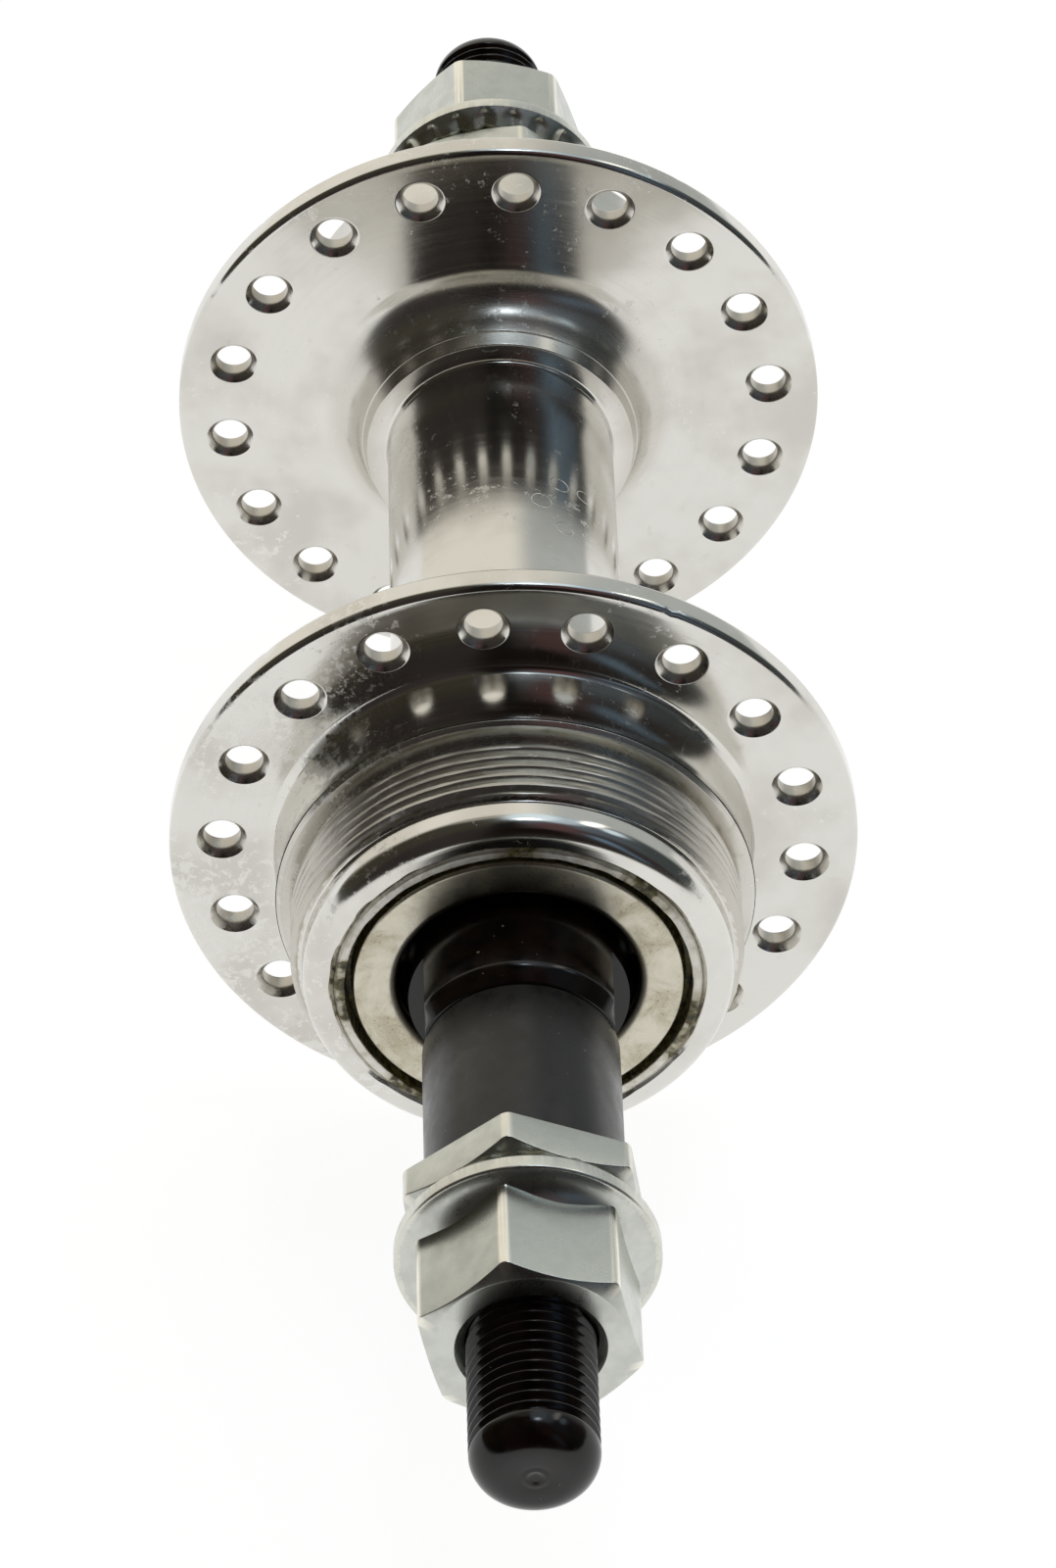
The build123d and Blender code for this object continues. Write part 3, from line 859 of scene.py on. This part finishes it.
def make_left_flange():
    """Left shell end: flange, boss, plain collar and cup seat."""
    side, origin = "left", ball_plane["left"]
    face = flange_plane[side] + flange_thickness / 2 - origin
    inboard_face = face - flange_thickness
    angles = even_angles(hole_count * columns_per_hole, spoke_turn[side])
    inner = outline(*boss_path(inboard_face))
    collar = outline(
        *mouth_path(angles, 5),
        (left_collar_radius, shell_end, left_collar_round),
        (left_collar_radius, face, 0.4),
        (sector_inner, face, 0),
    )
    grids = [
        turned(inner, angles, side, origin, boss_wear(inner)),
        turned(np.concatenate([inner[-1:] + 0 * collar[:1], collar]), angles, side, origin, 0.1),
        turned(rim_path(inboard_face, angles, 21), angles, side, origin),
    ]
    make_piece("left_flange_polished", grids + flange_sectors(side, inboard_face),
               "polished_aluminium", "shell", "left_flange")


def make_barrel():
    """Turned and buffed barrel tube between the flanges."""
    path = outline(
        (barrel_bore_radius, barrel_low, 0),
        (barrel_radius, barrel_low, sharp_break),
        (barrel_radius, barrel_high, sharp_break),
        (barrel_bore_radius, barrel_high, 0),
        (barrel_bore_radius, barrel_low, 0),
    )
    make_piece("barrel_polished", [turned(path, even_angles(round_columns["barrel"]), "left", 0.0, 0.05)],
               "polished_aluminium", "shell", "barrel")


def make_cup(side):
    """Pressed cup: a race groove, and a scraped rim that leaves a greasy V to the shell."""
    groove_centre_radius = ball_circle_radius - groove_shift
    race_outside = groove_centre_radius + race_radius
    floor_face = cup_floor + cup_floor_thickness
    angles = even_angles(round_columns["cup"])
    burr = uneven(angles, cup_burr, cup_burr_waves, 31 if side == "drive" else 32)
    rim_foot = (cup_radius, shell_end - cup_rim_depth, 0)
    bore_edge = (cup_bore_radius, shell_end - cup_bore_depth, 0)
    outside = outline(
        (cup_hole_radius, floor_face, 0),
        (cup_hole_radius, cup_floor, 0.1),
        (cup_radius, cup_floor, cup_corner_round),
        rim_foot,
    )
    rim = outline(
        rim_foot,
        (cup_radius - 0.05, shell_end - cup_rim_bevel, 0),
        (cup_radius - cup_rim_bevel - burr, shell_end + burr / 3, 0.05),
        (cup_bore_radius + 0.35, shell_end - burr / 3, 0),
        (cup_bore_radius + burr, shell_end, 0.1),
        bore_edge,
    )
    bore = outline(
        bore_edge,
        (cup_bore_radius, cap_seat, 0),
        (race_outside, cap_seat, 0.08),
        (race_outside, floor_face, race_radius),
        (cup_hole_radius, floor_face, 0),
    )
    origin = ball_plane[side]
    grime = 0.28 + 0.36 * smooth(0.3, 0.9, uneven(angles, 1.0, (2, 9), 7))
    grids = [
        turned(outside, angles, side, origin, 0.5, 0.6),
        turned(rim, angles, side, origin, 1.0, grime),
        turned(bore, angles, side, origin, 0.0, 1.0),
    ]
    make_piece(f"{side}_cup_ground", grids, "bearing_steel", "shell", f"{side}_cup")


def make_dust_cap(side):
    """Pressed cap: a ring in the cup's rim, a raised flat face and a lip rolled in round the cone."""
    outside = cup_bore_radius - cap_ring_width
    back = cap_face - cap_sheet
    lip_end = cap_face - cap_lip_depth
    inner_lip = cap_hole_radius + cap_sheet
    face = outline(
        (inner_lip, back, 0),
        (inner_lip, lip_end, 0.15),
        (cap_hole_radius, lip_end, 0.15),
        (cap_hole_radius, cap_face, cap_lip_radius),
        (outside, cap_face, 0.35),
        (outside, back, 0),
    )
    ring = outline(
        (outside, back, 0),
        (outside, cap_seat + cap_sheet, 0.2),
        (cup_bore_radius, cap_seat + cap_sheet, 0.05),
        (cup_bore_radius, cap_seat, 0.05),
        (outside - cap_sheet, cap_seat, 0.3),
        (outside - cap_sheet, back, 0.05),
        (inner_lip, back, 0),
    )
    angles, origin = even_angles(round_columns["cap"]), ball_plane[side]
    grids = [
        turned(face, angles, side, origin, 0.0, 0.12),
        turned(ring, angles, side, origin, 0.0, 1.0),
    ]
    make_piece(f"{side}_dust_cap_pressed", grids, "cap_steel", "shell", f"{side}_dust_cap")


def make_cone(side):
    """Cone: a race groove that faces inboard, and two wrench flats milled into its outboard end."""
    groove_centre_radius = ball_circle_radius + groove_shift
    nose_radius = groove_centre_radius - race_radius
    groove_edge = sqrt(race_radius**2 - (groove_centre_radius - cone_radius) ** 2) - groove_shift
    flat_start = cone_reach - cone_flat_length
    sweep = np.linspace(pi, pi + np.arccos((groove_centre_radius - cone_radius) / race_radius), 14)[1:-1]
    groove = np.stack([
        groove_centre_radius + race_radius * np.cos(sweep),
        -groove_shift - race_radius * np.sin(sweep),
    ], -1)[:, None]
    nose = outline(
        (axle_radius, cone_reach, 0),
        (axle_radius, -cone_nose_reach, 0),
        (nose_radius - cone_nose_bevel, -cone_nose_reach, sharp_break),
        (nose_radius, cone_nose_bevel - cone_nose_reach, sharp_break),
        (nose_radius, -groove_shift, 0),
    )
    body = outline(
        (cone_radius, groove_edge, 0),
        (cone_radius, flat_start, 0),
    )
    end = outline(
        (cone_radius, flat_start, 0),
        (cone_radius, cone_reach - cone_end_bevel, 0.9),
        (cone_radius - cone_end_step, cone_reach, 0.3),
        (axle_radius, cone_reach, 0),
    )
    flat_edge = np.arcsin(cone_flat_half / cone_radius)
    quarter = np.concatenate([
        np.linspace(0, flat_edge, 24),
        np.linspace(flat_edge, pi / 2, 30)[1:],
    ])
    half = np.concatenate([quarter, pi - quarter[-2:0:-1]])
    angles = np.concatenate([half, half + pi])
    round_part = turned(np.concatenate([nose, groove, body]), angles, side, ball_plane[side])
    flat_part = turned(end, angles, side, ball_plane[side])
    flat_part[..., 0] = np.clip(flat_part[..., 0], -cone_flat_half, cone_flat_half)
    make_piece(f"{side}_cone_blackened", [np.concatenate([round_part, flat_part])],
               "black_steel", "axle_set", f"{side}_cone", 30)


def make_spacer(side):
    """Lacquered spacer tube between cone and locknut."""
    start, end = sorted(outboard[side] * value for value in reach(f"{side}_spacer")[2:])
    path = outline(
        (axle_radius, start, 0),
        (spacer_radius, start, 0.15),
        (spacer_radius, end, 0.12),
        (axle_radius, end, 0),
        (axle_radius, start, 0),
    )
    make_piece(f"{side}_spacer_lacquered", [turned(path, even_angles(round_columns["spacer"]), side)],
               "satin_black_steel", "axle_set", f"{side}_spacer")


def clamping_face(side):
    """Place of the locknut's outer face, where the axle nut's teeth bite."""
    return max(outboard[side] * value for value in reach(f"{side}_locknut")[2:])


def make_locknut(side):
    """Thin hexagonal nut, corners bevelled on the outboard face, grime and painted shade under the axle
    nut.
    """
    turn = locknut_turn[side]
    angles = hexagon_angles(turn)
    flats = hexagon_radius(angles, turn, locknut_across_flats)
    face_radius = locknut_across_flats / 2 - hexagon_bevel_inset
    grime_and_shade_radius = face_radius - 0.3
    sides = outline(
        (axle_radius, -locknut_thickness, 0),
        (flats, -locknut_thickness, 0.12),
        (flats, -(flats - face_radius) * hexagon_bevel_slope, 0.12),
        (face_radius, 0, 0.08),
        (grime_and_shade_radius, 0, 0),
    )
    face = outline(
        (grime_and_shade_radius, 0, 0),
        (axle_radius + locknut_countersink, 0, 0.05),
        (axle_radius, -locknut_countersink, 0),
        (axle_radius, -locknut_thickness, 0),
    )
    on_side = sides[..., 0] > flats - side_margin
    rubbed = 0.6 * corner_wear(angles, turn, locknut_across_flats) * on_side
    origin = clamping_face(side)
    grids = [
        turned(sides, angles, side, origin, rubbed),
        # Grime on the face under the axle nut, partly painted shade: it darkens the face between the two
        # nuts
        turned(face, angles, side, origin, 0.0, 0.35),
    ]
    make_piece(f"{side}_locknut_zinc_plated", grids, "zinc_steel", "axle_set", f"{side}_locknut")


def tooth_rise(radius, angles, turn):
    """Rise of the clamping face above 0 at a radius, with the V grooves that part its teeth.

    Without grooves it is 0 out to the bevel and then climbs with it. A groove's bottom rises from under
    the face near its middle to the tooth's depth at the bevel, and runs out towards the rim. Its walls
    fall away sideways until they leave the face.
    """
    bevel_radius = nut_rim_radius - nut_bevel_width
    climb = np.clip(radius - bevel_radius, 0, None) * nut_bevel_height / nut_bevel_width
    pitch = 2 * bevel_radius * radians(180 / nut_teeth)
    spread = pitch * nut_groove_share / 2 / nut_tooth_depth
    run_out = smooth(nut_rim_radius - 0.15, nut_rim_radius - 0.5, radius)
    rising = np.clip(1 - (bevel_radius - radius) / nut_tooth_reach, -1, 1)
    bottom = nut_tooth_depth * rising * run_out + climb
    tooth_angle = 2 * pi / nut_teeth
    sideways = np.abs((angles - radians(turn) + tooth_angle / 2) % tooth_angle - tooth_angle / 2) * radius
    return np.maximum(climb, bottom - sideways / spread)


def make_axle_nut(side):
    """Axle nut: toothed clamping flange, dished top, hexagon with bevelled corners and countersunk bore."""
    turn = nut_turn[side]
    angles = hexagon_angles(turn, nut_teeth)
    flats = hexagon_radius(angles, turn, nut_across_flats)
    face_radius = nut_across_flats / 2 - hexagon_bevel_inset
    bevel_radius = nut_rim_radius - nut_bevel_width
    rim_end = nut_bevel_height + nut_rim_height
    neck = nut_across_flats / 2 - nut_neck_inset
    bottom_radius = np.concatenate([
        [nut_bore_radius],
        np.linspace(bevel_radius - nut_tooth_reach, bevel_radius, 8),
        np.linspace(bevel_radius, nut_rim_radius, 7)[1:],
    ])[:, None]
    teeth = np.stack(np.broadcast_arrays(bottom_radius, tooth_rise(bottom_radius, angles, turn)), -1)

    dish_centre, dish_radius = circle_through(
        (nut_rim_radius, rim_end),
        ((nut_rim_radius + neck) / 2, rim_end + nut_dish_rise),
        (neck, rim_end + nut_neck_rise),
    )
    dish_start = nut_rim_radius - 0.45
    across = dish_start + (flats - dish_start) * np.linspace(0, 1, 26)[:, None]
    rise = dish_centre[1] - np.sqrt(dish_radius**2 - (across - dish_centre[0]) ** 2)
    dish = np.stack([across, rise], -1)
    rim = outline(
        (nut_rim_radius, teeth[-1, :, 1], 0),
        (nut_rim_radius, rim_end, nut_rim_round),
        (dish_start, rise[0], 0),
    )
    foot = rise[-1]
    hexagon = outline(
        (flats, foot, 0),
        (flats, nut_height - (flats - face_radius) * hexagon_bevel_slope, 0.14),
        (face_radius, nut_height, 0.12),
        (nut_bore_radius + nut_countersink, nut_height, 0.1),
        (nut_bore_radius, nut_height - nut_countersink, 0),
        (nut_bore_radius, 0, 0),
    )
    on_side = hexagon[..., 0] > flats - side_margin
    rubbed = corner_wear(angles, turn, nut_across_flats) * on_side
    # Grime on the teeth, partly painted shade: it grows from the rim in under the flange, where shade falls
    tooth_grime_and_shade = 0.45 * smooth(nut_rim_radius, bevel_radius + 0.6, bottom_radius)
    origin = clamping_face(side)
    grids = [
        turned(teeth, angles, side, origin, 0.0, tooth_grime_and_shade),
        turned(rim, angles, side, origin, 0.35),
        turned(dish, angles, side, origin),
        turned(hexagon, angles, side, origin, rubbed),
    ]
    make_piece(f"{side}_axle_nut_zinc_plated", grids, "zinc_steel", f"{side}_nut", f"{side}_axle_nut", 30)


def make_axle():
    """Axle: threaded ends with crowned, centred tips, and a plain middle that the shell hides."""
    angles = even_angles(round_columns["axle"])
    end_radius = axle_radius - axle_crown

    def tip_limit(along):
        """Quarter circle of the crown, and the axle's full radius before it."""
        over = np.clip(along - (axle_tip - axle_crown), 0, axle_crown)
        return end_radius + np.sqrt(axle_crown**2 - over**2)

    grids = []
    for side in outboard:
        start = clamping_face(side) - 0.3
        crown_start = axle_tip - axle_crown * 0.85
        thread = thread_surface(start, crown_start, angles, side, axle_pitch, axle_radius,
                                axle_thread_depth, 0.14, tip_limit, 0.0)
        end = outline(
            (end_radius, axle_tip, 0),
            *((radius, axle_tip + rise, size) for radius, rise, size in axle_centre_mark),
        )
        sweep = np.linspace(np.arcsin(0.15), pi / 2, 16)[:, None, None]
        crown = np.concatenate([
            end_radius + axle_crown * np.cos(sweep), axle_tip - axle_crown * (1 - np.sin(sweep)),
        ], -1)
        plain = outline(
            (axle_radius, start, 0),
            (axle_radius, axle_shank_end, 0),
            (axle_shank_radius, axle_shank_end, 0),
            (axle_shank_radius, 0, 0),
        )
        joined = surface(*np.moveaxis(thread[-1:, :, :3], -1, 0))
        grids += [turned(path, angles, side) for path in (plain, end)]
        grids += [
            np.concatenate([turned(plain[:1], angles, side), thread]),
            np.concatenate([joined, turned(crown, angles, side)]),
        ]
    make_piece("axle_blackened", grids, "black_steel", "axle_set", "axle", 50)


make_drive_flange()
make_left_flange()
make_barrel()
make_axle()
for side in outboard:
    make_cup(side)
    make_dust_cap(side)
    make_cone(side)
    make_spacer(side)
    make_locknut(side)
    make_axle_nut(side)
    # The balls take the grease finish, whose dark colour is partly painted shade
    for number in range(1, 10):
        ball = frame["nodes"][f"{side}_ball_{number}"]
        ball.data.materials.clear()
        ball.data.materials.append(ball_grease_and_shade_finish)

# Camera, at the photograph's viewing angle
camera_place = (-0.000639, -0.41222, 0.35562)
camera_yaw = 0.0048
camera_pitch = 0.7254
camera_roll = -0.0299
lens_mm = 155.96
sensor_mm = 36.0


def make_camera():
    """Camera whose view line is turned right by the yaw, down by the pitch, and then rolled."""
    forward = np.array([
        sin(camera_yaw) * cos(camera_pitch), cos(camera_yaw) * cos(camera_pitch), -sin(camera_pitch),
    ])
    level = np.array([cos(camera_yaw), -sin(camera_yaw), 0])
    above = np.cross(level, forward)
    right = cos(camera_roll) * level + sin(camera_roll) * above
    top = cos(camera_roll) * above - sin(camera_roll) * level
    data = bpy.data.cameras.new("camera")
    data.lens = lens_mm
    data.sensor_width = sensor_mm
    data.clip_start, data.clip_end = 0.01, 20.0
    camera = bpy.data.objects.new("camera", data)
    rotation = np.column_stack([right, top, -forward])
    camera.matrix_world = Matrix.Translation(camera_place) @ Matrix(rotation.tolist()).to_4x4()
    bpy.context.scene.collection.objects.link(camera)
    bpy.context.scene.camera = camera


# Floor, in metres, and where along Y its mirror image starts to darken and is dark
floor_half = 2.5
floor_height = -flange_radius * mm
table_edge = (-0.19, -0.24)


def make_floor():
    """Pale floor that the flanges' rims touch. It looks white and keeps a faint shadow.

    The metal mirrors it as a table that ends 0.2 m in front of the hub.
    """
    signs = ((-1, -1), (1, -1), (1, 1), (-1, 1))
    corners = [(x * floor_half, y * floor_half, floor_height) for x, y in signs]
    mesh = bpy.data.meshes.new("floor")
    mesh.from_pydata(corners, [], [(0, 1, 2, 3)])
    finish = bpy.data.materials.new("matt_white_floor")
    finish.use_nodes = True
    tree = finish.node_tree
    tree.nodes.clear()
    path = add(tree, "LightPath")
    seen = path.outputs["Is Camera Ray"]
    for ray in ("Is Glossy Ray", "Is Transmission Ray"):
        seen = add(tree, "Math", (seen, path.outputs[ray]), operation="MAXIMUM")
    lit = add(tree, "BsdfDiffuse", {"Color": linear("#e8e6e2")})
    shaded = add(tree, "BsdfDiffuse", {"Color": linear("#83827f")})
    glow = add(tree, "Emission", {"Color": linear("#ffffff"), "Strength": 0.93})
    pale = add(tree, "AddShader", (shaded, glow))
    spot = add(tree, "SeparateXYZ", (add(tree, "NewGeometry").outputs["Position"],))
    past_edge = add(tree, "MapRange", (spot.outputs["Y"], *table_edge), **smoothly)
    beyond = add(tree, "Math", (past_edge, path.outputs["Is Glossy Ray"]), operation="MULTIPLY")
    dark = add(tree, "Emission", {"Color": linear("#2f2d28"), "Strength": 1.0})
    mirrored = add(tree, "MixShader", (beyond, pale, dark))
    add(tree, "OutputMaterial", {"Surface": add(tree, "MixShader", (seen, lit, mirrored))})
    mesh.materials.append(finish)
    floor = bpy.data.objects.new("floor", mesh)
    bpy.context.scene.collection.objects.link(floor)


# Patches of the room. Each has a colour, its middle and its half width in the x and y of the
# direction, its fade and its strength
room_patches = (
    ("#5a4242", (0.30, -0.50), (0.13, 0.24), 0.8, 1.0),
    ("#141312", (-0.05, -0.62), (0.09, 0.42), 0.5, 1.0),
    ("#181210", (0.10, -0.88), (0.20, 0.10), 0.6, 1.0),
    ("#6d8499", (0.52, -0.76), (0.06, 0.08), 0.9, 1.0),
    ("#aaa79c", (-0.22, 0.36), (0.18, 0.12), 0.8, 1.0),
    ("#bccbd8", (0.36, 0.14), (0.16, 0.30), 0.5, 1.0),
    ("#e2f1fa", (0.13, 0.22), (0.19, 0.33), 0.4, 1.15),
    ("#fffdf6", (0.56, 0.32), (0.06, 0.22), 0.4, 2.4),
    ("#d9ecf8", (0.71, 0.13), (0.06, 0.16), 0.5, 1.3),
    ("#e4f0ff", (0.11, 0.00), (0.06, 0.05), 0.6, 12.0),
)


def lay_bands(tree, sky, bands):
    """Passes from one colour to the next as a coordinate of the direction goes from low to high."""
    for coordinate, low, high, colour in bands:
        share = add(tree, "MapRange", (coordinate, low, high), **smoothly)
        sky = add(tree, "Mix", (share, sky, colour), **colours)
    return sky


def lay_patches(tree, sky, direction, patches):
    """Lays patches over the sky: each is an ellipse, full inside, that fades over a share of its size."""
    for colour, middle, half, fade, strength in patches:
        offset = add(tree, "VectorMath", (direction, (*middle, 0.0)), operation="SUBTRACT")
        scaled = add(tree, "VectorMath", (offset, (1 / half[0], 1 / half[1], 0.0)), operation="MULTIPLY")
        distance = add(tree, "VectorMath", (scaled,), operation="LENGTH")
        bright = tuple(strength * value for value in linear(colour)[:3]) + (1.0,)
        share = add(tree, "MapRange", (distance, 1 + fade, 1 - fade / 2), **smoothly)
        sky = add(tree, "Mix", (share, sky, bright), **colours)
    return sky


def make_studio():
    """Soft light from all round under a dim ceiling, with a dark room in front and small windows overhead.

    The ceiling and the room lie in front of a white wall behind the hub. Behind the camera's own rays
    the sky is plain white.
    """
    world = bpy.data.worlds.new("studio")
    bpy.context.scene.world = world
    world.use_nodes = True
    tree = world.node_tree
    tree.nodes.clear()
    direction = add(tree, "TexCoord").outputs["Generated"]
    parts = add(tree, "SeparateXYZ", (direction,))
    across, along = parts.outputs["X"], parts.outputs["Y"]
    wall = lay_bands(tree, linear("#f8f4ea"), (
        (across, 0.05, 0.35, linear("#bfc3c2")),
        (across, -0.7, -0.88, linear("#8d897e")),
    ))
    room = lay_bands(tree, linear("#413e35"), (
        (across, -0.05, 0.2, linear("#5c646d")),
        (across, 0.7, 0.9, linear("#454b4c")),
        (along, -0.35, -0.65, linear("#373231")),
    ))
    sky = lay_bands(tree, wall, ((along, 0.58, 0.26, room),))
    sky = lay_patches(tree, sky, direction, room_patches)
    path = add(tree, "LightPath")
    studio = add(tree, "Background", {"Color": sky, "Strength": 1.0})
    white = add(tree, "Background", {"Color": linear("#ffffff"), "Strength": 1.0})
    seen = add(tree, "MixShader", (path.outputs["Is Camera Ray"], studio, white))
    add(tree, "OutputWorld", {"Surface": seen})


make_camera()
make_floor()
make_studio()
bpy.context.scene.view_settings.view_transform = "Standard"
